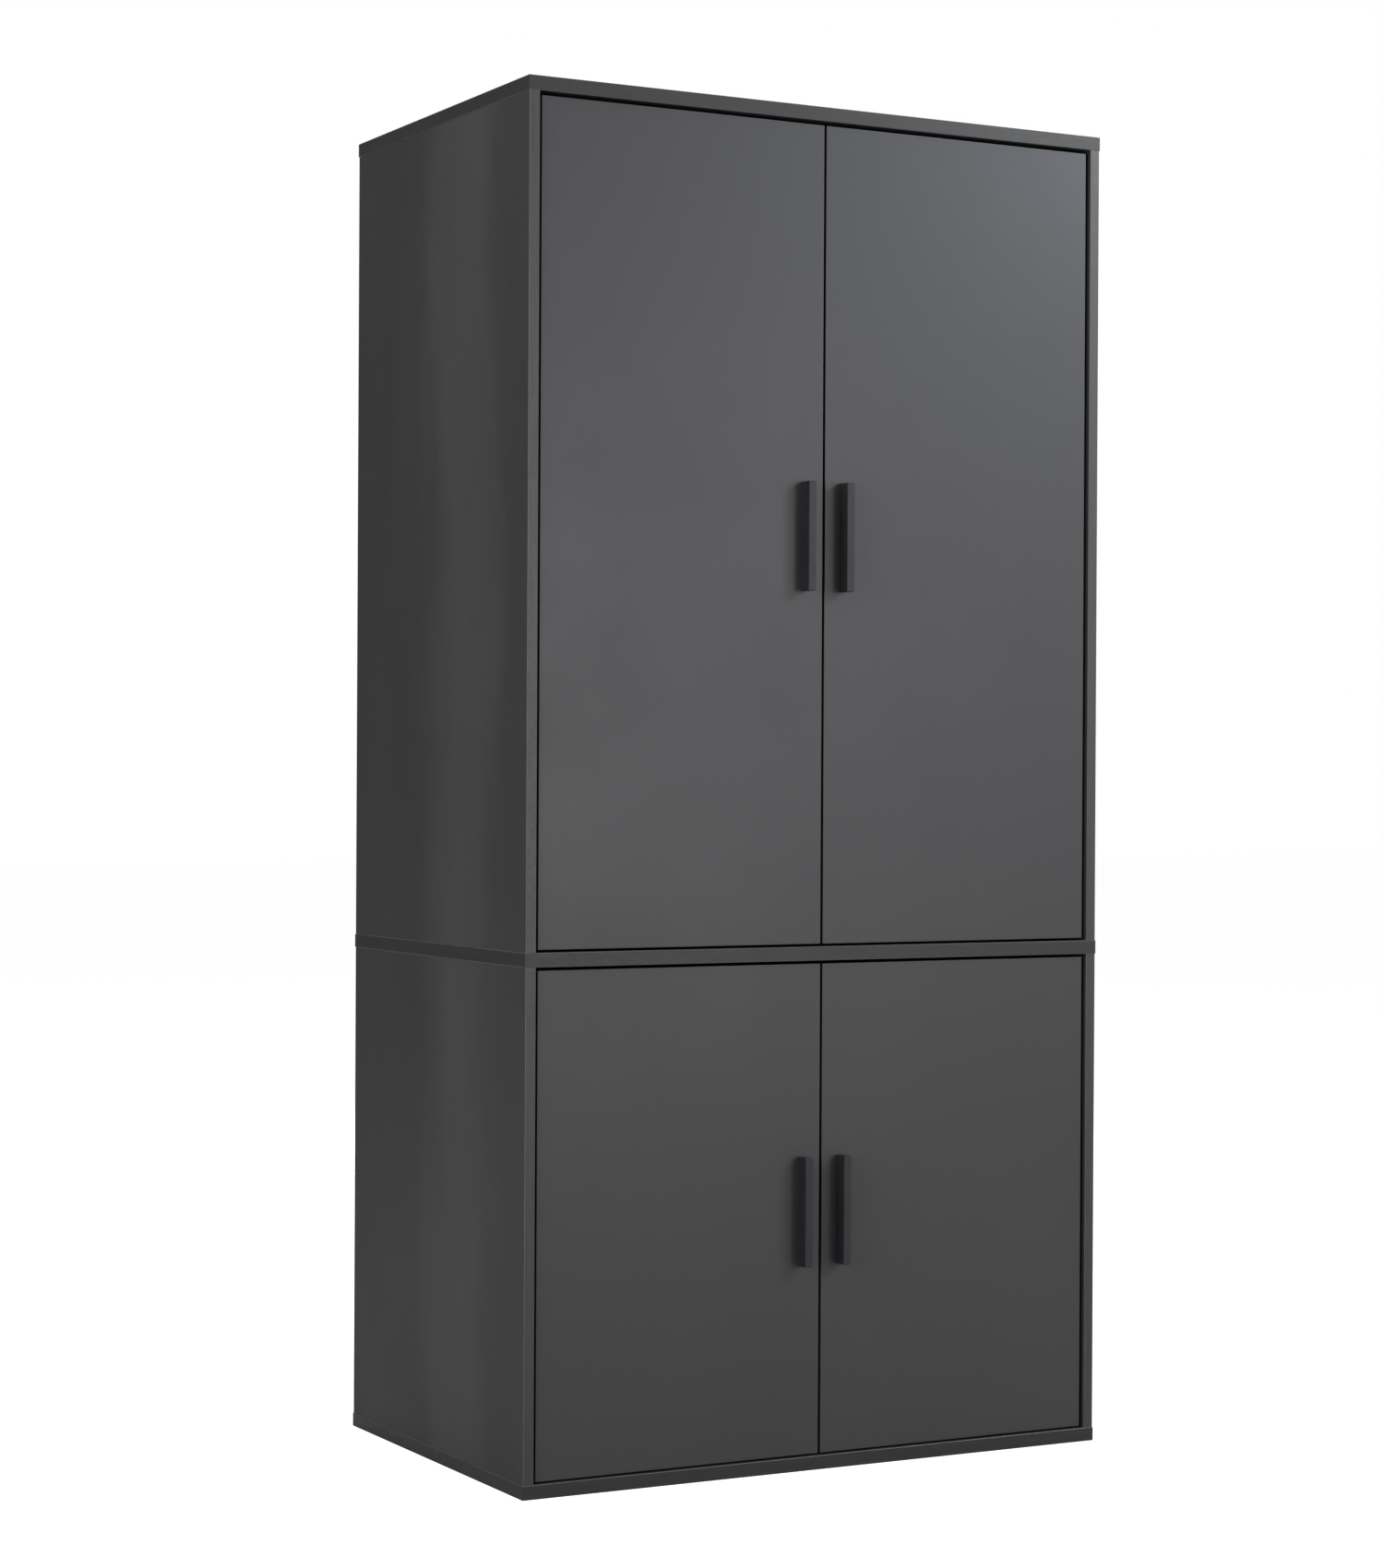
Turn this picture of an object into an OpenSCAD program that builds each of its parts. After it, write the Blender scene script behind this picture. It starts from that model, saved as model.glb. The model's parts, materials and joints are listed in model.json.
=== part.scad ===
// Two-tier wardrobe with four inset doors: a tall hanging compartment over a short cupboard.
// Millimetres, +Z up, the front faces -Y. The origin is the middle of the carcass's footprint
// on the floor. The left-hand doors hang on -X and the right-hand doors on +X.

/* [Carcass] */
// Width of the top, middle and bottom panels
body_w = 968; // [760:2:1200]
// Depth of the carcass, without the handles
body_d = 618; // [480:2:760]
// Height of the wardrobe
body_h = 2000; // [1640:5:2420]
// Thickness of the top, middle and bottom panels
slab_t = 20.6; // [18:0.2:26]
// Thickness of the side panels
side_t = 16; // [15:0.5:22]
// How far the top, middle and bottom panels stand past each side panel
slab_lip = 1; // [0:0.25:3]
// Height of the middle panel's upper face above the floor
middle_z = 768.5; // [620:0.5:900]

/* [Back panels] */
// Thickness of the hardboard backs
back_t = 3; // [2.5:0.5:5]
// Distance from the rear of the carcass to the backs
back_inset = 10; // [6:1:25]
// Depth of the groove that holds a back
groove_d = 4; // [3:0.5:5]
// Play of a back in its groove, each side
groove_play = 0.2; // [0.1:0.1:0.5]

/* [Doors] */
// Thickness of the doors
door_t = 16; // [15:0.5:19]
// How far the doors sit behind the carcass's front
door_recess = 5; // [3:0.5:8]
// Gap between a door and the side panel
side_gap = 5; // [4:0.5:8]
// Gap between the two doors of a pair
pair_gap = 3.9; // [2.5:0.1:6]
// Gap above the upper doors
upper_top_gap = 5.5; // [2.5:0.1:8]
// Gap below the upper doors
upper_bottom_gap = 3.7; // [2.5:0.1:8]
// Gap above the lower doors
lower_top_gap = 4.7; // [2.5:0.1:8]
// Gap below the lower doors
lower_bottom_gap = 2.7; // [2:0.1:8]

/* [Handles] */
// Length of a handle
handle_l = 160; // [120:2:220]
// Width of a handle's bar across the door
handle_w = 12; // [9:0.5:16]
// How far a handle stands out from its door
handle_out = 24; // [20:1:36]
// Distance between a handle's two screws
handle_pitch = 128; // [64:32:128]
// Distance from the door's free edge to the handle's centre line
handle_inset = 30.5; // [22:0.5:60]
// Height of the upper handles' lower end above the middle panel
upper_handle_rise = 521; // [300:5:700]
// Height of the lower handles' lower end above the floor
lower_handle_z = 301; // [180:1:500]
// Radius of the handle screws' thread
handle_screw_r = 2; // [1.5:0.25:2.5]

/* [Interior] */
// Thickness of the shelves
shelf_t = 16; // [15:0.5:22]
// Distance from the doors' backs to a shelf's front edge
shelf_setback = 40; // [20:5:120]
// Distance from a back panel to a shelf's rear edge
shelf_back_gap = 2; // [1:0.5:10]
// Play at each end of a shelf
shelf_play = 1; // [0.5:0.25:2]
// Height of the hat shelf's underside below the top panel
hat_shelf_drop = 300; // [240:5:420]
// Height of the lower shelf's underside above the bottom panel
lower_shelf_rise = 352; // [240:2:420]
// Radius of a shelf pin's shank
pin_r = 2.5; // [2:0.5:3]
// Outer radius of the hanging rail
rail_r = 12.5; // [10:0.5:15]
// Wall of the hanging rail
rail_wall = 1; // [0.8:0.1:2]
// Distance from the hat shelf's underside to the rail's centre
rail_drop = 55; // [45:1:80]

/* [Hinges] */
// Distance from a door's end to the centre of its end hinges
hinge_inset = 100; // [80:5:140]
// Radius of a hinge cup
cup_r = 17.5; // [17.5:0.5:20]
// Distance from the door's hinge edge to the cup
cup_edge = 5; // [4:0.5:7]
// Depth of a hinge cup in the door
cup_depth = 11.6; // [11:0.2:12.4]
// Radius of the hinge pins
hinge_pin_r = 1.25; // [1:0.05:1.5]
// Play of a hinge pin in a link
pin_play = 0.05; // [0.03:0.01:0.1]

/* [Fasteners] */
// Radius of a wooden dowel
dowel_r = 4; // [3:0.5:5]
// Length of a dowel in the side panel
dowel_in_side = 18; // [14:1:24]
// Length of a dowel in the top, middle or bottom panel
dowel_in_slab = 9; // [7:1:12]
// Radius of a cam lock
cam_r = 7.5; // [6:0.5:8]
// Depth of a cam lock in the side panel
cam_depth = 12; // [10:0.5:13]
// Distance from the side panel's end to the cam's centre
cam_reach = 34; // [28:1:40]
// Distance between the two wall brackets
bracket_pitch = 700; // [400:10:860]
// Radius of the wall screw hole in a bracket
bracket_hole_r = 3; // [2:0.25:4]

/* [Hidden] */
$fn = 48;
eps = 0.01;
LEFT = -1;
RIGHT = 1;
UPPER = 1;
LOWER = 0;

// Colours, as they are seen
anthracite = [0.27, 0.27, 0.28];
door_grey = [0.33, 0.33, 0.34];
handle_black = [0.12, 0.12, 0.13];
steel = [0.72, 0.73, 0.75];
beech = [0.78, 0.62, 0.42];
hardboard = [0.36, 0.35, 0.34];

// Carcass: planes that everything else is placed from
front_y = -body_d / 2;
rear_y = body_d / 2;
side_out = body_w / 2 - slab_lip;
side_in = side_out - side_t;
top_under = body_h - slab_t;
middle_under = middle_z - slab_t;
back_front_y = rear_y - back_inset - back_t;

// Doors: each tier's clear height, and the doors in it
door_front_y = front_y + door_recess;
door_back_y = door_front_y + door_t;
door_w = side_in - side_gap - pair_gap / 2;
upper_door_z = middle_z + upper_bottom_gap;
upper_door_h = top_under - upper_top_gap - upper_door_z;
lower_door_z = slab_t + lower_bottom_gap;
lower_door_h = middle_under - lower_top_gap - lower_door_z;
function door_z(tier) = tier == UPPER ? upper_door_z : lower_door_z;
function door_h(tier) = tier == UPPER ? upper_door_h : lower_door_h;

// Handles
handle_screw_play = 0.1;
handle_screw_in = 12;
screw_head_t = 2.2;
handle_screw_head_r = 4;
function handle_z(tier) = (tier == UPPER ? middle_z + upper_handle_rise : lower_handle_z) + handle_l / 2;

// Shelves: they rest on pins in the side panels
shelf_front_y = door_back_y + shelf_setback;
shelf_rear_y = back_front_y - shelf_back_gap;
hat_shelf_z = top_under - hat_shelf_drop;
lower_shelf_z = slab_t + lower_shelf_rise;
pin_in_side = 9;
pin_out = 8;
pin_plate_t = 3;
pin_paddle_w = 10;
pin_margin = 37;
pin_hole_play = 0.05;
rail_z = hat_shelf_z - rail_drop;
rail_y = (shelf_front_y + shelf_rear_y) / 2;
socket_base_t = 2.5;
socket_wall = 2.5;
socket_depth = 14;
rail_play = 0.3;
socket_flange_r = rail_r + 12;
socket_screw_at = rail_r + 7;
screw_in_side = 12;
small_screw_r = 1.75;
small_head_r = 3.4;
small_head_t = 1.6;
small_hole_play = 0.05;

// Carcass joints: two cams and two dowels at each end of a side panel
cam_bolt_r = 3;
cam_bolt_in_slab = 10;
cam_play = 0.1;
joint_margin = 60;
joint_shift = 32;
joint_x = side_in + side_t / 2;
dowel_play = 0.05;
end_gap = 0.3;
cam_bolt_tip = 4;
cam_bolt_hole = cam_reach + cam_bolt_tip + cam_play;
cam_cross_w = 2;
cam_cross_d = 1.5;
cam_cross_half = 0.7 * cam_r;

// Wall brackets
bracket_leg = 38;
bracket_t = 2;
bracket_w = 22;
bracket_hole_z = 22;
bracket_screw_len = 12;

// Hinge geometry, seen from above, for a left-hand door. X runs from the door's hinge edge,
// Y runs back from the door's front face, Z is from the middle of the hinge.
// The outer link joins arm_a to cup_c. The inner link joins arm_b to cup_d.
arm_a = [32.6, door_t + 3.5];
cup_c = [13.6, door_t - 8];
arm_b = [41.3, door_t + 13.8];
cup_d = [17, door_t - 2.8];
link_r = 2.6;
link_arc_steps = 12;
link_arc = 180 / link_arc_steps;
outer_half_z = 4;
ear_r = 3;
ear_inner_z = 4.3;
ear_outer_z = 6.3;
inner_link_z = 6.6;
inner_link_t = 2;
arm_a_pin_z = ear_outer_z - 0.2;
arm_b_pin_z = inner_link_z + inner_link_t + 0.2;
// The stub in the cup has play in the inner link's eye, which takes up the links' uneven turn
stub_r = 1;
stub_play = 1.15;
stub_eye_r = 3.2;
pocket_half_z = 9;
pocket_x0 = 9;
pocket_x1 = 36;
pocket_floor = door_t - cup_depth + 0.8;
cup_x = cup_edge + cup_r;
cup_play = 0.1;
cup_lip = 2;
pin_in_cheek = 0.5;
flange_t = 1.2;
flange_wing_z = 24;
flange_wing_r = 7;
cup_screw_x = cup_x + 6;
cup_screw_len = 10;
arm_bar_r = 3.6;
block_x = 3;
arm_knee = [block_x + arm_bar_r, door_t + 32];
arm_tail_t = 6;
arm_tail_l = 36;
plate_base_t = 4;
plate_screw_y = door_t + 37;
plate_screw_z = 16;
plate_screw_r = 3;
plate_screw_head = 1.2;
plate_screw_head_t = 1.6;
plate_screw_len = 11;
plate_half_z = 24;
plate_half_y = 9;

// Heights of a tier's hinges
function hinge_zs(tier) =
    let (low = door_z(tier) + hinge_inset)
    let (high = door_z(tier) + door_h(tier) - hinge_inset)
    tier == UPPER ? [low, (low + high) / 2, high] : [low, high];

// Places along the depth of the cams and dowels at a tier's side panel ends
function cam_y(tier) = body_d / 2 - joint_margin - (tier == UPPER ? 2 * joint_shift : 0);
function dowel_y(tier) = cam_y(tier) - joint_shift;

// The ends of each tier's side panels
function side_z0(tier) = tier == UPPER ? middle_z : slab_t;
function side_z1(tier) = tier == UPPER ? top_under : middle_under;

// Runs its children once for each panel joint: at the panel's end, with +Z into the slab
module at_joints(tier, y_place) {
    for (side = [LEFT, RIGHT])
        for (y = [-y_place, y_place]) {
            translate([side * joint_x, y, side_z1(tier)]) children();
            translate([side * joint_x, y, side_z0(tier)]) mirror([0, 0, 1]) children();
        }
}

// Runs its children once for each hinge of a door, in the hinge's own frame
module at_hinges(tier, side) {
    for (z = hinge_zs(tier))
        mirror([side == RIGHT ? 1 : 0, 0, 0])
            translate([side_gap - side_in, door_front_y, z])
                children();
}

// Runs its children at each shelf pin of one shelf, with +X out of the compartment
module at_pins(shelf_z) {
    for (side = [LEFT, RIGHT])
        for (y = [shelf_front_y + pin_margin, shelf_rear_y - pin_margin])
            translate([0, y, shelf_z - pin_plate_t])
                mirror([side == LEFT ? 1 : 0, 0, 0])
                    translate([side_in, 0, 0])
                        children();
}

// Runs its children at each rail socket, with +X out of the compartment
module at_sockets() {
    for (side = [LEFT, RIGHT])
        translate([0, rail_y, rail_z])
            mirror([side == LEFT ? 1 : 0, 0, 0])
                translate([side_in, 0, 0])
                    children();
}

// Runs its children at each wall bracket, under the top panel and against the back
module at_brackets() {
    for (x = [-bracket_pitch / 2, bracket_pitch / 2])
        translate([x, back_front_y, top_under])
            children();
}

// Cylinders that lie along +X and +Y
module rod_x(r, h) { rotate([0, 90, 0]) cylinder(r = r, h = h); }
module rod_y(r, h) { rotate([-90, 0, 0]) cylinder(r = r, h = h); }

// ---------------------------------------------------------------- carcass

module slab(z) {
    translate([-body_w / 2, front_y, z]) cube([body_w, body_d, slab_t]);
}

module slab_groove(z) {
    translate([-side_in - groove_d, back_front_y - groove_play, z])
        cube([2 * (side_in + groove_d), back_t + 2 * groove_play, groove_d + eps]);
}

// Holes in the slabs for a tier's cam bolts and dowels
module slab_joint_holes(tier) {
    at_joints(tier, cam_y(tier))
        translate([0, 0, -eps]) cylinder(r = cam_bolt_r + cam_play, h = cam_bolt_in_slab + eps);
    at_joints(tier, dowel_y(tier))
        translate([0, 0, -eps]) cylinder(r = dowel_r + dowel_play, h = dowel_in_slab + eps);
}

module top_panel() {
    color(anthracite) difference() {
        slab(top_under);
        slab_groove(top_under - eps);
        slab_joint_holes(UPPER);
        at_brackets() translate([0, -bracket_leg / 2, -eps])
            cylinder(r = small_screw_r + small_hole_play, h = bracket_screw_len);
    }
}

module middle_panel() {
    color(anthracite) difference() {
        slab(middle_under);
        slab_groove(middle_under - eps);
        slab_groove(middle_z - groove_d);
        slab_joint_holes(UPPER);
        slab_joint_holes(LOWER);
    }
}

module bottom_panel() {
    color(anthracite) difference() {
        slab(0);
        slab_groove(slab_t - groove_d);
        slab_joint_holes(LOWER);
    }
}

module side_panel(tier, side) {
    z0 = side_z0(tier);
    h = side_z1(tier) - z0;
    color(anthracite) difference() {
        translate([side == LEFT ? -side_out : side_in, front_y, z0]) cube([side_t, body_d, h]);
        translate([side == LEFT ? -side_in - groove_d : side_in - eps, back_front_y - groove_play, z0 - eps])
            cube([groove_d + eps, back_t + 2 * groove_play, h + 2 * eps]);
        at_joints(tier, cam_y(tier)) translate([0, 0, -cam_bolt_hole])
            cylinder(r = cam_bolt_r + cam_play, h = cam_bolt_hole + eps);
        at_joints(tier, dowel_y(tier)) translate([0, 0, -dowel_in_side])
            cylinder(r = dowel_r + dowel_play, h = dowel_in_side + eps);
        at_cams(tier) translate([-eps, 0, 0]) rod_x(cam_r + cam_play, cam_depth + cam_play);
        at_hinges(tier, side) at_plate_screws()
            translate([-plate_screw_len, 0, 0]) rod_x(plate_screw_r + small_hole_play, plate_screw_len + eps);
        at_pins(tier == UPPER ? hat_shelf_z : lower_shelf_z)
            translate([-eps, 0, 0]) rod_x(pin_r + pin_hole_play, pin_in_side + eps);
        if (tier == UPPER)
            at_sockets() at_socket_screws()
                translate([-eps, 0, 0]) rod_x(small_screw_r + small_hole_play, screw_in_side + eps);
    }
}

// Runs its children at each cam lock of a tier, at the side panel's inner face, +X into the panel
module at_cams(tier) {
    for (side = [LEFT, RIGHT])
        for (y = [-cam_y(tier), cam_y(tier)])
            for (z = [side_z0(tier) + cam_reach, side_z1(tier) - cam_reach])
                translate([0, y, z])
                    mirror([side == LEFT ? 1 : 0, 0, 0])
                        translate([side_in, 0, 0])
                            children();
}

module dowels() {
    color(beech) for (tier = [LOWER, UPPER])
        at_joints(tier, dowel_y(tier)) translate([0, 0, end_gap - dowel_in_side])
            cylinder(r = dowel_r, h = dowel_in_side + dowel_in_slab - 2 * end_gap);
}

// Each bolt is screwed into a slab and its far end is held in the cam's slot
module cam_bolts() {
    color(steel) for (tier = [LOWER, UPPER])
        at_joints(tier, cam_y(tier)) translate([0, 0, -cam_bolt_tip - cam_reach])
            cylinder(r = cam_bolt_r, h = cam_bolt_tip + cam_reach + cam_bolt_in_slab - end_gap);
}

module cam_locks() {
    slot = 2 * (cam_bolt_r + cam_play);
    color(steel) for (tier = [LOWER, UPPER]) at_cams(tier) difference() {
        rod_x(cam_r, cam_depth);
        translate([side_t / 2, 0, 0]) cube([slot, slot, 2 * cam_r + slot], center = true);
        cube([2 * cam_cross_d, 2 * cam_cross_half, cam_cross_w], center = true);
        cube([2 * cam_cross_d, cam_cross_w, 2 * cam_cross_half], center = true);
    }
}

// ---------------------------------------------------------------- backs, shelves and rail

module back_board(z0, z1) {
    reach = groove_d - end_gap;
    translate([-side_in - reach, back_front_y, z0 - reach])
        cube([2 * (side_in + reach), back_t, z1 - z0 + 2 * reach]);
}

module upper_back() {
    color(hardboard) difference() {
        back_board(middle_z, top_under);
        at_brackets() translate([0, -eps, -bracket_hole_z]) rod_y(bracket_hole_r + 1, back_t + 2 * eps);
    }
}

module lower_back() { color(hardboard) back_board(slab_t, middle_under); }

module shelf(z) {
    color(anthracite) translate([-side_in + shelf_play, shelf_front_y, z])
        cube([2 * (side_in - shelf_play), shelf_rear_y - shelf_front_y, shelf_t]);
}

module hat_shelf() { shelf(hat_shelf_z); }
module lower_shelf() { shelf(lower_shelf_z); }

// Each pin has a shank in the side panel and a flat paddle that the shelf lies on
module shelf_pins() {
    color(steel) for (z = [hat_shelf_z, lower_shelf_z]) at_pins(z) {
        translate([-pin_out, 0, 0]) rod_x(pin_r, pin_out + pin_in_side - end_gap);
        translate([-pin_out, -pin_paddle_w / 2, 0]) cube([pin_out, pin_paddle_w, pin_plate_t]);
    }
}

module hanging_rail() {
    half = side_in - socket_base_t - rail_play;
    color(steel) translate([-half, rail_y, rail_z]) difference() {
        rod_x(rail_r, 2 * half);
        translate([-eps, 0, 0]) rod_x(rail_r - rail_wall, 2 * half + 2 * eps);
    }
}

// Runs its children at a socket's screws, with +X into the side panel
module at_socket_screws() {
    for (i = [0 : 2]) rotate([90 + 120 * i, 0, 0]) translate([0, socket_screw_at, 0]) children();
}

module rail_sockets() {
    color(steel) at_sockets() difference() {
        union() {
            translate([-socket_base_t, 0, 0]) rod_x(socket_flange_r, socket_base_t);
            translate([-socket_depth, 0, 0]) rod_x(rail_r + pin_hole_play + socket_wall, socket_depth - eps);
        }
        translate([-socket_depth - eps, 0, 0])
            rod_x(rail_r + pin_hole_play, socket_depth - socket_base_t + eps);
        at_socket_screws() translate([-socket_base_t - eps, 0, 0])
            rod_x(small_screw_r + small_hole_play, socket_base_t + 2 * eps);
    }
}

// A small screw along +X whose head sits on the plane X = 0
module small_screw(length) {
    translate([-small_head_t / 2, 0, 0]) rod_x(small_screw_r, small_head_t / 2 + length);
    translate([-small_head_t, 0, 0]) rod_x(small_head_r, small_head_t);
}

module rail_socket_screws() {
    color(steel) at_sockets() at_socket_screws()
        translate([-socket_base_t, 0, 0]) small_screw(screw_in_side + socket_base_t - 1);
}

// Angle brackets with one leg under the top panel and one against the back
module wall_brackets() {
    color(steel) at_brackets() difference() {
        translate([-bracket_w / 2, -bracket_leg, -bracket_leg]) cube([bracket_w, bracket_leg, bracket_leg]);
        translate([-bracket_w / 2 - eps, -bracket_leg - eps, -bracket_leg - eps])
            cube([bracket_w + 2 * eps, bracket_leg - bracket_t + eps, bracket_leg - bracket_t + eps]);
        translate([0, -bracket_t - eps, -bracket_hole_z]) rod_y(bracket_hole_r, bracket_t + 2 * eps);
        translate([0, -bracket_leg / 2, -bracket_t - eps])
            cylinder(r = small_screw_r + small_hole_play, h = bracket_t + 2 * eps);
    }
}

module bracket_screws() {
    color(steel) at_brackets() translate([0, -bracket_leg / 2, -bracket_t])
        rotate([0, -90, 0]) small_screw(bracket_screw_len + bracket_t - 1);
}

// ---------------------------------------------------------------- doors and handles

module door(tier, side) {
    color(door_grey) difference() {
        translate([side == LEFT ? -pair_gap / 2 - door_w : pair_gap / 2, door_front_y, door_z(tier)])
            cube([door_w, door_t, door_h(tier)]);
        at_hinges(tier, side) {
            translate([cup_x, door_t - cup_depth - cup_play, 0]) rod_y(cup_r + cup_play, cup_depth + 1);
            at_cup_screws() translate([0, -cup_screw_len, 0])
                rod_y(small_screw_r + small_hole_play, cup_screw_len + eps);
        }
        at_handle_screws(tier, side) translate([0, -eps, 0])
            rod_y(handle_screw_r + handle_screw_play, door_t + 2 * eps);
    }
}

// Runs its children at a door's two handle screws, on the door's front face
module at_handle_screws(tier, side) {
    for (z = [-handle_pitch / 2, handle_pitch / 2])
        translate([side * (pair_gap / 2 + handle_inset), door_front_y, handle_z(tier) + z])
            children();
}

// A straight solid bar that stands on the door along its whole length
module handle(tier, side) {
    color(handle_black) difference() {
        translate([side * (pair_gap / 2 + handle_inset) - handle_w / 2, door_front_y - handle_out,
                   handle_z(tier) - handle_l / 2])
            cube([handle_w, handle_out, handle_l]);
        at_handle_screws(tier, side) translate([0, -handle_screw_in, 0])
            rod_y(handle_screw_r + handle_screw_play, handle_screw_in + eps);
    }
}

module handle_screws(tier, side) {
    color(steel) at_handle_screws(tier, side) {
        translate([0, 1 - handle_screw_in, 0]) rod_y(handle_screw_r, handle_screw_in - 1 + door_t + eps);
        translate([0, door_t, 0]) rod_y(handle_screw_head_r, screw_head_t);
    }
}

// ---------------------------------------------------------------- concealed hinges

// The points of a half circle round a centre, from a starting angle
function half_round(centre, r, start) = [
    for (i = [0 : link_arc_steps])
        centre + r * [cos(start + i * link_arc), sin(start + i * link_arc)]
];

// A flat link between two pin centres, from height z up. Its outline is one polygon with round ends.
module link_bar(p, q, r, z, h) {
    run = q - p;
    toward = atan2(run[1], run[0]);
    outline = concat(half_round(q, r, toward - 90), half_round(p, r, toward + 90));
    translate([0, 0, z]) linear_extrude(h) polygon(outline);
}

module hinge_pin(p, r, z, h) { translate([p[0], p[1], z]) cylinder(r = r, h = h); }

// Runs its children at a cup's two screws, on the door's back face
module at_cup_screws() {
    for (z = [-flange_wing_z, flange_wing_z]) translate([cup_screw_x, door_t, z]) children();
}

// Runs its children at a mounting plate's two screws, on the side panel's inner face
module at_plate_screws() {
    for (z = [-plate_screw_z, plate_screw_z]) translate([-side_gap, plate_screw_y, z]) children();
}

// The cup carries the outer link's pin and the two stubs of the inner link
module hinge_cup() {
    difference() {
        union() {
            translate([cup_x, door_t - cup_depth, 0]) rod_y(cup_r, cup_depth + eps);
            translate([cup_x, door_t, 0]) rod_y(cup_r + cup_lip, flange_t);
            at_cup_screws() rod_y(flange_wing_r, flange_t);
            translate([cup_screw_x - flange_wing_r, door_t, -flange_wing_z])
                cube([2 * flange_wing_r, flange_t, 2 * flange_wing_z]);
        }
        translate([pocket_x0, pocket_floor, -pocket_half_z])
            cube([pocket_x1 - pocket_x0, door_t, 2 * pocket_half_z]);
        at_cup_screws() translate([0, -eps, 0]) rod_y(small_screw_r + small_hole_play, flange_t + 2 * eps);
    }
    reach = pocket_half_z + pin_in_cheek;
    hinge_pin(cup_c, hinge_pin_r, -reach, 2 * reach);
    for (z = [-reach, inner_link_z]) hinge_pin(cup_d, stub_r, z, reach - inner_link_z);
}

module outer_link() {
    difference() {
        link_bar(arm_a, cup_c, link_r, -outer_half_z, 2 * outer_half_z);
        for (p = [arm_a, cup_c])
            hinge_pin(p, hinge_pin_r + pin_play, -outer_half_z - eps, 2 * outer_half_z + 2 * eps);
    }
}

module inner_link() {
    for (z = [-inner_link_z - inner_link_t, inner_link_z]) difference() {
        union() {
            link_bar(arm_b, cup_d, link_r, z, inner_link_t);
            translate([cup_d[0], cup_d[1], z]) cylinder(r = stub_eye_r, h = inner_link_t);
        }
        hinge_pin(arm_b, hinge_pin_r + pin_play, z - eps, inner_link_t + 2 * eps);
        hinge_pin(cup_d, stub_r + stub_play, z - eps, inner_link_t + 2 * eps);
    }
}

// Two ears hold the links' pins, and a cranked tail lies on the mounting plate
module hinge_arm() {
    for (z = [-ear_outer_z, ear_inner_z]) link_bar(arm_a, arm_b, ear_r, z, ear_outer_z - ear_inner_z);
    hinge_pin(arm_a, hinge_pin_r, -arm_a_pin_z, 2 * arm_a_pin_z);
    hinge_pin(arm_b, hinge_pin_r, -arm_b_pin_z, 2 * arm_b_pin_z);
    link_bar(arm_b, arm_knee, arm_bar_r, -ear_outer_z, 2 * ear_outer_z);
    translate([block_x, arm_knee[1] - arm_bar_r, -ear_outer_z])
        cube([arm_tail_t, arm_tail_l, 2 * ear_outer_z]);
}

module hinge_plate() {
    difference() {
        union() {
            translate([-side_gap, plate_screw_y - plate_half_y, -plate_half_z])
                cube([plate_base_t, 2 * plate_half_y, 2 * plate_half_z]);
            translate([-side_gap, arm_knee[1] - arm_bar_r, -ear_outer_z])
                cube([block_x + side_gap, arm_tail_l, 2 * ear_outer_z]);
        }
        at_plate_screws() translate([-eps, 0, 0])
            rod_x(plate_screw_r + small_hole_play, plate_base_t + 2 * eps);
    }
}

module hinge_cups(tier, side) { color(steel) at_hinges(tier, side) hinge_cup(); }
module outer_links(tier, side) { color(steel) at_hinges(tier, side) outer_link(); }
module inner_links(tier, side) { color(steel) at_hinges(tier, side) inner_link(); }
module hinge_arms(tier, side) { color(steel) at_hinges(tier, side) hinge_arm(); }

module cup_screws(tier, side) {
    color(steel) at_hinges(tier, side) at_cup_screws()
        translate([0, flange_t, 0]) rotate([0, 0, -90]) small_screw(cup_screw_len + flange_t - 1);
}

module hinge_plates() {
    color(steel) for (tier = [LOWER, UPPER])
        for (side = [LEFT, RIGHT]) at_hinges(tier, side) hinge_plate();
}

module hinge_plate_screws() {
    color(steel) for (tier = [LOWER, UPPER])
        for (side = [LEFT, RIGHT]) at_hinges(tier, side) at_plate_screws() {
            translate([1 - plate_screw_len, 0, 0]) rod_x(plate_screw_r, plate_screw_len + plate_base_t);
            translate([plate_base_t, 0, 0]) rod_x(plate_screw_r + plate_screw_head, plate_screw_head_t);
        }
}

// ---------------------------------------------------------------- assembly

top_panel();
middle_panel();
bottom_panel();
side_panel(UPPER, LEFT);  // upper_left_side
side_panel(UPPER, RIGHT);  // upper_right_side
side_panel(LOWER, LEFT);  // lower_left_side
side_panel(LOWER, RIGHT);  // lower_right_side
upper_back();
lower_back();
hat_shelf();
lower_shelf();
shelf_pins();
hanging_rail();
rail_sockets();
rail_socket_screws();
dowels();
cam_bolts();
cam_locks();
wall_brackets();
bracket_screws();
door(UPPER, LEFT);  // upper_left_door
door(UPPER, RIGHT);  // upper_right_door
door(LOWER, LEFT);  // lower_left_door
door(LOWER, RIGHT);  // lower_right_door
handle(UPPER, LEFT);  // upper_left_handle
handle(UPPER, RIGHT);  // upper_right_handle
handle(LOWER, LEFT);  // lower_left_handle
handle(LOWER, RIGHT);  // lower_right_handle
handle_screws(UPPER, LEFT);  // upper_left_handle_screws
handle_screws(UPPER, RIGHT);  // upper_right_handle_screws
handle_screws(LOWER, LEFT);  // lower_left_handle_screws
handle_screws(LOWER, RIGHT);  // lower_right_handle_screws
hinge_cups(UPPER, LEFT);  // upper_left_hinge_cups
hinge_cups(UPPER, RIGHT);  // upper_right_hinge_cups
hinge_cups(LOWER, LEFT);  // lower_left_hinge_cups
hinge_cups(LOWER, RIGHT);  // lower_right_hinge_cups
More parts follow.
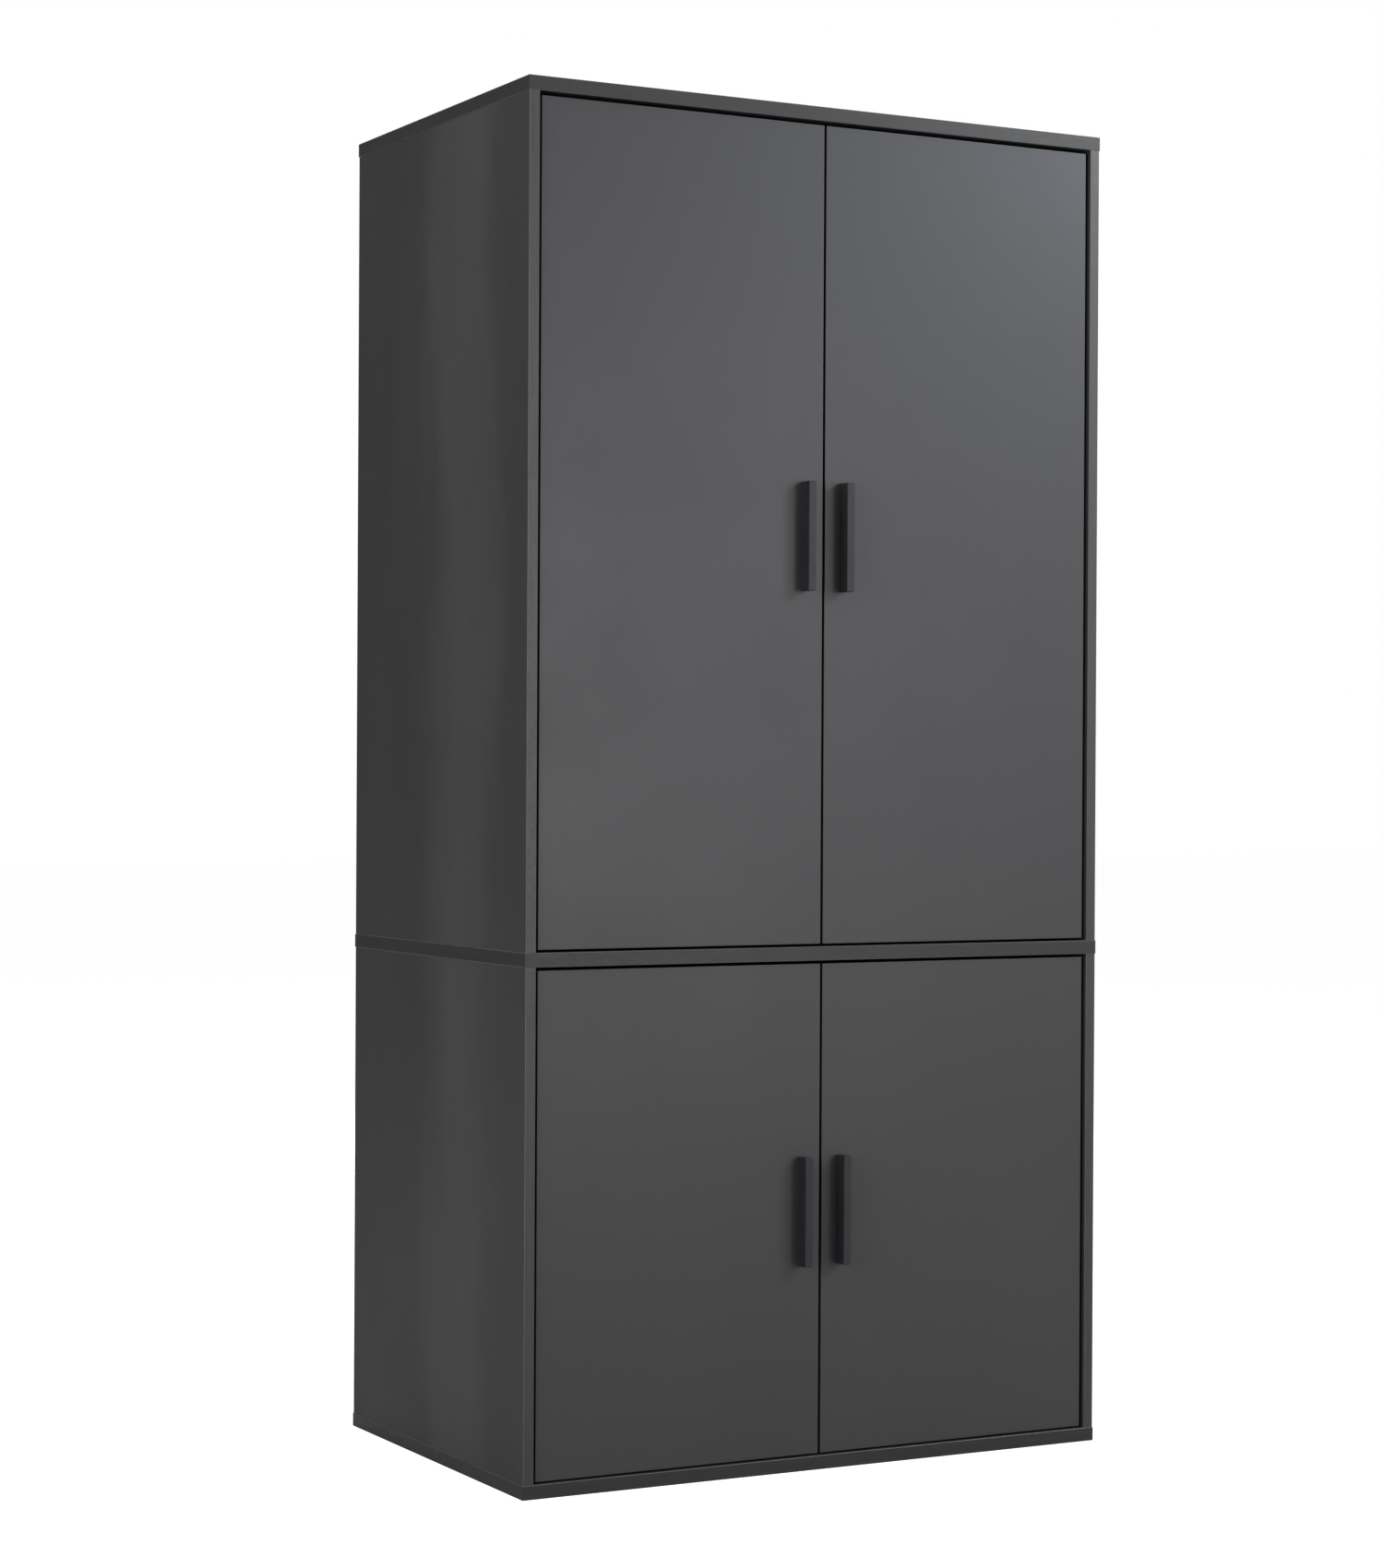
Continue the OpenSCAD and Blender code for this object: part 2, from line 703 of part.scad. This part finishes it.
outer_links(UPPER, LEFT);  // upper_left_outer_links
outer_links(UPPER, RIGHT);  // upper_right_outer_links
outer_links(LOWER, LEFT);  // lower_left_outer_links
outer_links(LOWER, RIGHT);  // lower_right_outer_links
inner_links(UPPER, LEFT);  // upper_left_inner_links
inner_links(UPPER, RIGHT);  // upper_right_inner_links
inner_links(LOWER, LEFT);  // lower_left_inner_links
inner_links(LOWER, RIGHT);  // lower_right_inner_links
hinge_arms(UPPER, LEFT);  // upper_left_hinge_arms
hinge_arms(UPPER, RIGHT);  // upper_right_hinge_arms
hinge_arms(LOWER, LEFT);  // lower_left_hinge_arms
hinge_arms(LOWER, RIGHT);  // lower_right_hinge_arms
hinge_plates();
hinge_plate_screws();
cup_screws(UPPER, LEFT);  // upper_left_cup_screws
cup_screws(UPPER, RIGHT);  // upper_right_cup_screws
cup_screws(LOWER, LEFT);  // lower_left_cup_screws
cup_screws(LOWER, RIGHT);  // lower_right_cup_screws
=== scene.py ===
"""Looks of a two-tier wardrobe with four inset doors. Metres, +Z up, the doors face -Y."""
import json
import math

import bmesh
import bpy
from mathutils import Matrix, Vector


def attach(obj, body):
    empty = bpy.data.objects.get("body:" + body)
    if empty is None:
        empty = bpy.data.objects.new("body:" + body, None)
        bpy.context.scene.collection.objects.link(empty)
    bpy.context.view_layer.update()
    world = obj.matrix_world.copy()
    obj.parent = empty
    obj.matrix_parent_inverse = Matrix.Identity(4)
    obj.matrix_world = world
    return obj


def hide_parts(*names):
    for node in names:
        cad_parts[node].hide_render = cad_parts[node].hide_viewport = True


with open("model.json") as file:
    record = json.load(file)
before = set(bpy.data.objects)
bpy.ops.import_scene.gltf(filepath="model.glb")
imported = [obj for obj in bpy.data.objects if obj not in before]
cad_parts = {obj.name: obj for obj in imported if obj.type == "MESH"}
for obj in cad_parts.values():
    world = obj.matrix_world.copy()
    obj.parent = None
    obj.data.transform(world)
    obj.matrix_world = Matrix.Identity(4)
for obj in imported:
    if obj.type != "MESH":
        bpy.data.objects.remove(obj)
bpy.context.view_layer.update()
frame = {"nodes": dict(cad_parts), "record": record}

BODIES = frame["record"]["behaviour"]["bodies"]
BODY_OF = {node: body for body, nodes in BODIES.items() for node in nodes}
DOORS = [f"{tier}_{side}" for tier in ("upper", "lower") for side in ("left", "right")]
SLABS = ("top_panel", "middle_panel", "bottom_panel", "hat_shelf", "lower_shelf")
MM = 0.001
AXIS_X, AXIS_Y, AXIS_Z = 0, 1, 2

# Rounding of the pieces' edges, and how long an edge has to be to get it
BOARD_ROUNDING = 0.7 * MM
BOARD_LEAST_EDGE = 40 * MM
HANDLE_ROUNDING = 0.9 * MM
HANDLE_LEAST_EDGE = 8 * MM
FITTING_ROUNDING = 0.25 * MM
ROUNDING_STEPS = 3
FITTING_STEPS = 2

# Angles between two faces: in one plane, smooth, a small part's corner, a board's or handle's corner
FLAT_ANGLE = math.radians(1.0)
SMOOTH_ANGLE = math.radians(32.0)
FITTING_CORNER = math.radians(50.0)
OUTER_CORNER = math.radians(60.0)
WELD_DISTANCE = 0.002 * MM
FACE_SHARE = 0.7
FULL_WEIGHT = 100

# Grain: noise scale along X, Y and Z, per metre. The low number runs along the grain.
UPRIGHT_GRAIN = (420.0, 420.0, 22.0)
ALONG_X_GRAIN = (22.0, 420.0, 420.0)
UPRIGHT_BAND_GRAIN = (260.0, 260.0, 9.0)
SLAB_BAND_GRAIN = (9.0, 9.0, 260.0)
ARRIS_GRAIN = (90.0, 90.0, 90.0)
FLECK_GRAIN = (700.0, 700.0, 60.0)
FIBRE_GRAIN = (420.0, 420.0, 330.0)

# Tones and tints
WHITE = (1.0, 1.0, 1.0)
CARCASS_TONE = (0.036, 0.036, 0.0365)
DOOR_TONE = (0.0400, 0.0385, 0.0375)
# The arris tones are lighter than the faces beside them: a painted highlight along the rounded edges.
ARRIS_PAINTED_HIGHLIGHT_TONE = (0.085, 0.085, 0.086)
DOOR_ARRIS_PAINTED_HIGHLIGHT_TONE = (0.045, 0.045, 0.046)
HANDLE_TONE = (0.014, 0.014, 0.0155)
DOOR_GLINT = (0.92, 0.93, 1.0)
BAND_GLINT = (1.0, 0.97, 0.94)
HANDLE_GLINT = (0.9, 0.92, 1.0)

# Where the side panels' painted reflection, a lighter upright band, lies: ahead of the middle, and
# its half width
PAINTED_REFLECTION_SHIFT = 0.09
PAINTED_REFLECTION_CORE = 0.03
PAINTED_REFLECTION_EDGE = 0.17
PAINTED_REFLECTION_WOBBLE = 0.05

# Studio
AMBIENT = 0.17
FLOOR_HALF = 30.0
FLOOR_TONE = 0.5
FLOOR_MOTTLE = 0.02
FLOOR_GLOW = 0.9
COOL = (0.87, 0.925, 1.0)
WARM = (1.0, 0.985, 0.965)

# Softboxes: name, place, the point it faces, width and height, watts, colour
SOFTBOXES = [
    ("key", (3.7, -3.5, 3.4), (0.2, -0.3, 1.5), (1.4, 1.4), 132.0, COOL),
    ("key_low", (3.4, -4.2, 1.5), (0.2, -0.3, 0.5), (2.6, 2.0), 24.0, WHITE),
    ("front", (2.2, -6.0, 1.4), (0.0, -0.3, 1.0), (1.6, 2.2), 54.0, WARM),
    ("overhead", (0.0, -0.8, 4.6), (0.0, 0.0, 0.6), (3.0, 3.0), 55.0, WHITE),
    ("left", (-4.6, -2.2, 1.9), (0.0, 0.0, 1.0), (2.6, 2.6), 143.0, WHITE),
    ("left_high", (-3.2, -0.6, 3.9), (-0.4, -0.1, 1.8), (1.2, 1.2), 34.0, WHITE),
    ("rear", (1.2, 4.5, 2.4), (0.0, 0.3, 1.0), (3.0, 3.0), 110.0, WHITE),
    ("right", (4.6, 1.4, 2.2), (0.4, 0.0, 1.0), (2.6, 2.6), 60.0, WHITE),
]

# Camera: its place, and where it looks
CAMERA_PLACE = (-2.5356, -4.6281, 1.0252)
CAMERA_YAW = math.radians(28.196)
CAMERA_PITCH = math.radians(-0.219)
CAMERA_ROLL = math.radians(0.290)
LEVEL_LOOK = math.radians(90.0)
LENS_MM = 78.257
SENSOR_MM = 36.0


# ---------------------------------------------------------------- material helpers

def tinted(colour, factor):
    return tuple(c * factor for c in colour)


class Nodes:
    """A material's node tree, with short calls for the nodes used here."""

    def __init__(self, name):
        self.material = bpy.data.materials.new(name)
        self.material.use_nodes = True
        self.tree = self.material.node_tree
        self.shader = self.tree.nodes["Principled BSDF"]
        self.place = self.tree.nodes.new("ShaderNodeTexCoord").outputs["Object"]

    def link(self, source, target):
        self.tree.links.new(source, target)

    def drive(self, source, socket):
        """Feeds a value or colour into one of the shader's own sockets."""
        self.link(source, self.shader.inputs[socket])

    def set(self, **values):
        for key, value in values.items():
            self.shader.inputs[key.replace("_", " ")].default_value = value

    def stretched(self, scale):
        """Object coordinates in metres, scaled along each axis."""
        node = self.tree.nodes.new("ShaderNodeMapping")
        node.inputs["Scale"].default_value = scale
        self.link(self.place, node.inputs["Vector"])
        return node.outputs["Vector"]

    def noise(self, scale=1.0, detail=4.0, roughness=0.55, along=None, distortion=0.0):
        """Noise of one scale per metre, or of its own scale along each axis."""
        node = self.tree.nodes.new("ShaderNodeTexNoise")
        node.inputs["Scale"].default_value = scale
        node.inputs["Detail"].default_value = detail
        node.inputs["Roughness"].default_value = roughness
        node.inputs["Distortion"].default_value = distortion
        self.link(self.stretched(along) if along else self.place, node.inputs["Vector"])
        return node.outputs["Fac"]

    def spread(self, value, low, high, out_low=0.0, out_high=1.0, smooth=False):
        """Maps the stretch from low to high onto out_low to out_high, and holds it beyond."""
        node = self.tree.nodes.new("ShaderNodeMapRange")
        node.interpolation_type = "SMOOTHSTEP" if smooth else "LINEAR"
        limits = {"From Min": low, "From Max": high, "To Min": out_low, "To Max": out_high}
        for key, number in limits.items():
            node.inputs[key].default_value = number
        self.link(value, node.inputs["Value"])
        return node.outputs["Result"]

    def maths(self, operation, *terms):
        node = self.tree.nodes.new("ShaderNodeMath")
        node.operation = operation
        for socket, term in zip(node.inputs, terms):
            if isinstance(term, float):
                socket.default_value = term
            else:
                self.link(term, socket)
        return node.outputs["Value"]

    def blend(self, share, first, second):
        """Colour first where share is 0, second where it is 1. Either may be a colour or a socket."""
        node = self.tree.nodes.new("ShaderNodeMix")
        node.data_type = "RGBA"
        self.link(share, node.inputs["Factor"])
        colour_sockets = [s for s in node.inputs if s.type == "RGBA"]
        for socket, value in zip(colour_sockets, (first, second)):
            if isinstance(value, tuple):
                socket.default_value = (*value, 1.0)
            else:
                self.link(value, socket)
        return next(s for s in node.outputs if s.type == "RGBA")

    def shaded(self, colour, shade):
        """A colour made darker or lighter by a number."""
        node = self.tree.nodes.new("ShaderNodeVectorMath")
        node.operation = "SCALE"
        self.link(colour, node.inputs["Vector"])
        self.link(shade, node.inputs["Scale"])
        return node.outputs["Vector"]

    def part_along(self, vector, axis):
        node = self.tree.nodes.new("ShaderNodeSeparateXYZ")
        self.link(vector, node.inputs["Vector"])
        return node.outputs[axis]

    def facing(self, axis):
        """The surface normal's part along an axis of the piece."""
        normal = self.tree.nodes.new("ShaderNodeTexCoord").outputs["Normal"]
        return self.part_along(normal, axis)

    def bump(self, height, strength, distance):
        node = self.tree.nodes.new("ShaderNodeBump")
        node.inputs["Strength"].default_value = strength
        node.inputs["Distance"].default_value = distance
        self.link(height, node.inputs["Height"])
        self.drive(node.outputs["Normal"], "Normal")


# ---------------------------------------------------------------- materials

def painted_reflection_band(n, strength):
    """A painted reflection: a soft upright band, lighter than the rest of a side panel, with wavering
    edges.
    """
    waver = n.noise(detail=3.0, along=(1.0, 6.0, 1.6))
    wobble = n.spread(waver, 0.3, 0.7, -PAINTED_REFLECTION_WOBBLE, PAINTED_REFLECTION_WOBBLE)
    depth = n.maths("ADD", n.part_along(n.place, AXIS_Y), wobble)
    off_centre = n.maths("ABSOLUTE", n.maths("ADD", depth, PAINTED_REFLECTION_SHIFT))
    return n.spread(off_centre, PAINTED_REFLECTION_CORE, PAINTED_REFLECTION_EDGE, 1.0 + strength, 1.0 - strength, smooth=True)


def melamine(name, colour, grain, gloss, mottle, streak=0.08, painted_reflection_strength=0.0, glint=WHITE):
    """Anthracite melamine foil: cloudy tone, fine grain and faint pores. The painted reflection
    band's strength is above 0 on side panels only."""
    n = Nodes(name)
    clouds = n.spread(n.noise(detail=5.0, along=(3.0, 4.5, 1.3), distortion=0.5), 0.32, 0.68)
    tone = n.blend(clouds, tinted(colour, 1.0 - mottle), tinted(colour, 1.0 + mottle))
    fine = n.noise(detail=6.0, roughness=0.7, along=grain)
    shade = n.spread(fine, 0.35, 0.65, 1.0 - streak, 1.0 + streak)
    # On side panels the base colour is lightened in an upright band: a painted reflection.
    if painted_reflection_strength:
        shade = n.maths("MULTIPLY", shade, painted_reflection_band(n, painted_reflection_strength))
    n.drive(n.shaded(tone, shade), "Base Color")
    handling = n.noise(5.0, detail=3.0)
    n.drive(n.spread(handling, 0.3, 0.7, gloss - 0.03, gloss + 0.03), "Roughness")
    pores = n.noise(900.0, detail=2.0)
    relief = n.maths("ADD", n.maths("MULTIPLY", fine, 0.6), n.maths("MULTIPLY", pores, 0.4))
    n.bump(relief, 0.1, 0.08 * MM)
    n.set(Specular_IOR_Level=0.42, Specular_Tint=(*glint, 1.0))
    return n.material


def edge_band(name, colour, gloss, grain, shine=0.5):
    """Plastic edging on the boards' ends: smoother than the faces, printed with a fine long grain."""
    n = Nodes(name)
    streaks = n.spread(n.noise(detail=5.0, roughness=0.65, along=grain), 0.32, 0.68)
    n.drive(n.blend(streaks, tinted(colour, 0.88), tinted(colour, 1.12)), "Base Color")
    scuffs = n.noise(160.0)
    n.drive(n.spread(scuffs, 0.35, 0.7, gloss - 0.04, gloss + 0.06), "Roughness")
    n.bump(scuffs, 0.04, 0.04 * MM)
    n.set(Specular_IOR_Level=shine, Specular_Tint=(*BAND_GLINT, 1.0))
    return n.material


def powder_coat(name, colour):
    """Satin black powder coat with its fine orange-peel."""
    n = Nodes(name)
    cloud = n.spread(n.noise(45.0, detail=3.0), 0.3, 0.7)
    n.drive(n.blend(cloud, tinted(colour, 0.85), tinted(colour, 1.2)), "Base Color")
    peel = n.noise(1400.0, detail=2.0)
    n.drive(n.spread(peel, 0.3, 0.7, 0.42, 0.52), "Roughness")
    n.bump(peel, 0.12, 0.06 * MM)
    n.set(Specular_IOR_Level=0.4, Specular_Tint=(*HANDLE_GLINT, 1.0))
    return n.material


def metal(name, colour, gloss, brush, grip):
    """Plated or bare metal with fine drawn lines and small handling marks."""
    n = Nodes(name)
    lines = n.noise(detail=5.0, roughness=0.65, along=brush)
    marks = n.spread(n.noise(70.0), 0.4, 0.75)
    n.drive(n.blend(marks, colour, tinted(colour, 0.82)), "Base Color")
    n.drive(n.spread(lines, 0.3, 0.7, gloss - 0.04, gloss + 0.06), "Roughness")
    n.bump(lines, grip, 0.05 * MM)
    n.set(Metallic=1.0)
    return n.material


def beech(name):
    """Raw beech dowel with short flecks along its length."""
    n = Nodes(name)
    fibre = n.spread(n.noise(detail=6.0, along=FLECK_GRAIN), 0.35, 0.65)
    n.drive(n.blend(fibre, (0.42, 0.25, 0.12), (0.66, 0.46, 0.27)), "Base Color")
    n.set(Roughness=0.62)
    n.bump(fibre, 0.25, 0.1 * MM)
    return n.material


def hardboard(name):
    """Thin back: dark printed face inside, raw brown fibres on the side that faces the wall."""
    n = Nodes(name)
    fibres = n.noise(detail=6.0, roughness=0.75, along=FIBRE_GRAIN, distortion=0.8)
    fibres = n.spread(fibres, 0.3, 0.7)
    blotches = n.spread(n.noise(7.0), 0.3, 0.7)
    pulp = n.blend(fibres, (0.145, 0.086, 0.05), (0.215, 0.133, 0.08))
    brown = n.shaded(pulp, n.spread(blotches, 0.0, 1.0, 0.9, 1.08))
    printed = n.blend(blotches, (0.05, 0.05, 0.052), (0.064, 0.064, 0.066))
    rear = n.spread(n.facing(AXIS_Y), 0.4, 0.6)
    n.drive(n.blend(rear, printed, brown), "Base Color")
    n.drive(n.spread(rear, 0.0, 1.0, 0.5, 0.78), "Roughness")
    n.bump(fibres, 0.15, 0.2 * MM)
    return n.material


def evenly(scale):
    """The same noise scale along each axis."""
    return (scale, scale, scale)


def make_materials():
    side_band_tone = tinted(CARCASS_TONE, 0.9)
    slab_band_tone = tinted(CARCASS_TONE, 0.6)
    # The door edges are 0.3 of the door's tone: painted shade, so the gaps around the doors look
    # dark.
    door_edge_painted_shade_tone = tinted(DOOR_TONE, 0.3)
    return {
        # The side panels' base colour carries a painted reflection, a lighter upright band.
        "side_face": melamine(
            "side_melamine", CARCASS_TONE, UPRIGHT_GRAIN, gloss=0.5, mottle=0.1, painted_reflection_strength=0.22),
        "slab_face": melamine(
            "slab_melamine", CARCASS_TONE, ALONG_X_GRAIN, gloss=0.54, mottle=0.1),
        "door_face": melamine(
            "door_melamine", DOOR_TONE, UPRIGHT_GRAIN, gloss=0.38, mottle=0.035, streak=0.025,
            glint=DOOR_GLINT),
        "side_band": edge_band("side_edge_band", side_band_tone, 0.38, UPRIGHT_BAND_GRAIN),
        "slab_band": edge_band("slab_edge_band", slab_band_tone, 0.37, SLAB_BAND_GRAIN, shine=0.38),
        # Door edge band darkened as painted shade in the gaps around the doors.
        "door_band": edge_band("door_edge_band_painted_shade", door_edge_painted_shade_tone, 0.5, UPRIGHT_BAND_GRAIN),
        # The rounded edges' materials are lighter than the faces: a painted highlight.
        "arris": edge_band("arris_painted_highlight", ARRIS_PAINTED_HIGHLIGHT_TONE, 0.35, ARRIS_GRAIN),
        "door_arris": edge_band("door_arris", DOOR_ARRIS_PAINTED_HIGHLIGHT_TONE, 0.4, ARRIS_GRAIN),
        "handle": powder_coat("black_powder_coat", HANDLE_TONE),
        "hinge": metal("nickel_plated_steel", (0.66, 0.655, 0.65), 0.32, evenly(420.0), 0.025),
        "fitting": metal("zinc_plated_fitting", (0.6, 0.61, 0.63), 0.36, (260.0, 260.0, 500.0), 0.04),
        "screw": metal("zinc_plated_screw", (0.58, 0.58, 0.6), 0.3, evenly(400.0), 0.03),
        "rail": metal("chromed_rail", (0.76, 0.76, 0.78), 0.12, (900.0, 60.0, 60.0), 0.03),
        "cam": metal("die_cast_zinc", (0.5, 0.51, 0.53), 0.42, evenly(300.0), 0.08),
        "dowel": beech("raw_beech"),
        "back": hardboard("hardboard_back"),
    }


MATERIALS = make_materials()

# Materials of the CAD nodes that stay in view, where their names don't say enough
LOOK_OF = {
    "upper_back": "back",
    "lower_back": "back",
    "hanging_rail": "rail",
    "dowels": "dowel",
    "cam_bolts": "cam",
    "cam_locks": "cam",
    "rail_sockets": "fitting",
    "shelf_pins": "fitting",
    "wall_brackets": "fitting",
}
ROUNDED_LOOKS = ("hinge", "fitting", "screw")


# ---------------------------------------------------------------- pieces made from the CAD's shapes

def clean_copy(node, name):
    """A copy of a CAD node's mesh with its doubled corners welded and its flat faces whole."""
    mesh = bpy.data.meshes.new(name)
    shape = bmesh.new()
    shape.from_mesh(frame["nodes"][node].data)
    bmesh.ops.remove_doubles(shape, verts=shape.verts, dist=WELD_DISTANCE)
    bmesh.ops.dissolve_limit(
        shape, angle_limit=FLAT_ANGLE, verts=shape.verts, edges=shape.edges)
    return mesh, shape


def round_edges(shape, radius, least_length):
    """Rounds the outer edges that are longer than a length, and returns the new faces."""
    edges = [
        e for e in shape.edges
        if len(e.link_faces) == 2 and e.is_convex and e.calc_length() > least_length
        and e.calc_face_angle() > OUTER_CORNER
    ]
    made = bmesh.ops.bevel(
        shape, geom=edges, offset=radius, offset_type="OFFSET", segments=ROUNDING_STEPS,
        profile=0.5, affect="EDGES", clamp_overlap=True)
    return made["faces"]


def finish_piece(node, mesh, shape, materials):
    """Puts a shape into the scene in place of its CAD node, with its faces shaded flat."""
    shape.to_mesh(mesh)
    shape.free()
    piece = bpy.data.objects.new(mesh.name, mesh)
    bpy.context.scene.collection.objects.link(piece)
    for material in materials:
        mesh.materials.append(MATERIALS[material])
    mesh.shade_smooth()
    mesh.set_sharp_from_angle(angle=SMOOTH_ANGLE)
    flat = piece.modifiers.new("flat_faces", "WEIGHTED_NORMAL")
    flat.keep_sharp = True
    flat.weight = FULL_WEIGHT
    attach(piece, BODY_OF[node])
    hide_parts(node)


def board(node, face, band, arris, thin_axis):
    """A board with rounded arrises. Faces across the thin axis are foil, its ends are edge band."""
    mesh, shape = clean_copy(node, f"{node}_board")
    arrises = round_edges(shape, BOARD_ROUNDING, BOARD_LEAST_EDGE)
    shape.normal_update()
    for f in shape.faces:
        f.material_index = 0 if abs(f.normal[thin_axis]) > FACE_SHARE else 1
    # The rounded edges take the arris materials, whose lighter colour is a painted highlight.
    for f in arrises:
        f.material_index = 2
    finish_piece(node, mesh, shape, (face, band, arris))


def build_boards():
    for node in SLABS:
        board(node, "slab_face", "slab_band", "arris", AXIS_Z)
    for door in DOORS:
        board(f"{door}_side", "side_face", "side_band", "arris", AXIS_X)
        board(f"{door}_door", "door_face", "door_band", "door_arris", AXIS_Y)


def build_handles():
    for door in DOORS:
        node = f"{door}_handle"
        mesh, shape = clean_copy(node, f"{node}_bar")
        round_edges(shape, HANDLE_ROUNDING, HANDLE_LEAST_EDGE)
        finish_piece(node, mesh, shape, ("handle",))


def look_of(node):
    """The name of a CAD node's material, or None where a piece replaces the node."""
    if node in LOOK_OF:
        return LOOK_OF[node]
    if "screws" in node:
        return "screw"
    if "hinge" in node or "links" in node:
        return "hinge"
    return None


def dress_nodes():
    """Gives the CAD nodes that stay in view their materials and small rounded edges."""
    for node, obj in frame["nodes"].items():
        look = look_of(node)
        if look is None:
            continue
        obj.data.materials.clear()
        obj.data.materials.append(MATERIALS[look])
        if look in ROUNDED_LOOKS:
            bevel = obj.modifiers.new("edges", "BEVEL")
            bevel.width = FITTING_ROUNDING
            bevel.segments = FITTING_STEPS
            bevel.limit_method = "ANGLE"
            bevel.angle_limit = FITTING_CORNER


# ---------------------------------------------------------------- studio

def area_light(name, place, target, size, power, colour):
    data = bpy.data.lights.new(name, "AREA")
    data.shape = "RECTANGLE"
    data.size, data.size_y = size
    data.energy = power
    data.color = colour
    light = bpy.data.objects.new(name, data)
    bpy.context.scene.collection.objects.link(light)
    light.location = place
    light.rotation_euler = (Vector(target) - Vector(place)).to_track_quat("-Z", "Y").to_euler()


def add_floor():
    """A pale floor: lit softly for the object's sake, and near white where it is seen directly."""
    mesh = bpy.data.meshes.new("studio_floor")
    h = FLOOR_HALF
    mesh.from_pydata([(-h, -h, 0), (h, -h, 0), (h, h, 0), (-h, h, 0)], [], [(0, 1, 2, 3)])
    floor = bpy.data.objects.new("studio_floor", mesh)
    bpy.context.scene.collection.objects.link(floor)
    n = Nodes("pale_floor")
    darker = tinted(WHITE, FLOOR_TONE - FLOOR_MOTTLE)
    n.drive(n.blend(n.noise(3.0), darker, tinted(WHITE, FLOOR_TONE)), "Base Color")
    n.set(Roughness=0.9, Specular_IOR_Level=0.1, Emission_Color=(*WHITE, 1.0))
    direct = n.tree.nodes.new("ShaderNodeLightPath").outputs["Is Camera Ray"]
    n.drive(n.maths("MULTIPLY", direct, FLOOR_GLOW), "Emission Strength")
    mesh.materials.append(n.material)


def add_world():
    """White where it is seen directly, and dim as a light, so that the gaps stay dark."""
    world = bpy.data.worlds.new("studio")
    bpy.context.scene.world = world
    world.use_nodes = True
    nodes, links = world.node_tree.nodes, world.node_tree.links
    background = nodes["Background"]
    background.inputs["Color"].default_value = (*WHITE, 1.0)
    direct = nodes.new("ShaderNodeLightPath").outputs["Is Camera Ray"]
    strength = nodes.new("ShaderNodeMapRange")
    strength.inputs["To Min"].default_value = AMBIENT
    strength.inputs["To Max"].default_value = 1.0
    links.new(direct, strength.inputs["Value"])
    links.new(strength.outputs["Result"], background.inputs["Strength"])


def build_studio():
    add_floor()
    add_world()
    for softbox in SOFTBOXES:
        area_light(*softbox)
    scene = bpy.context.scene
    scene.view_settings.view_transform = "Standard"
    scene.view_settings.look = "None"


def build_camera():
    data = bpy.data.cameras.new("camera")
    data.sensor_fit = "VERTICAL"
    data.sensor_height = SENSOR_MM
    data.lens = LENS_MM
    camera = bpy.data.objects.new("camera", data)
    bpy.context.scene.collection.objects.link(camera)
    yaw = Matrix.Rotation(-CAMERA_YAW, 4, "Z")
    pitch = Matrix.Rotation(LEVEL_LOOK + CAMERA_PITCH, 4, "X")
    roll = Matrix.Rotation(CAMERA_ROLL, 4, "Z")
    camera.matrix_world = Matrix.Translation(CAMERA_PLACE) @ yaw @ pitch @ roll
    bpy.context.scene.camera = camera


build_boards()
build_handles()
dress_nodes()
build_studio()
build_camera()
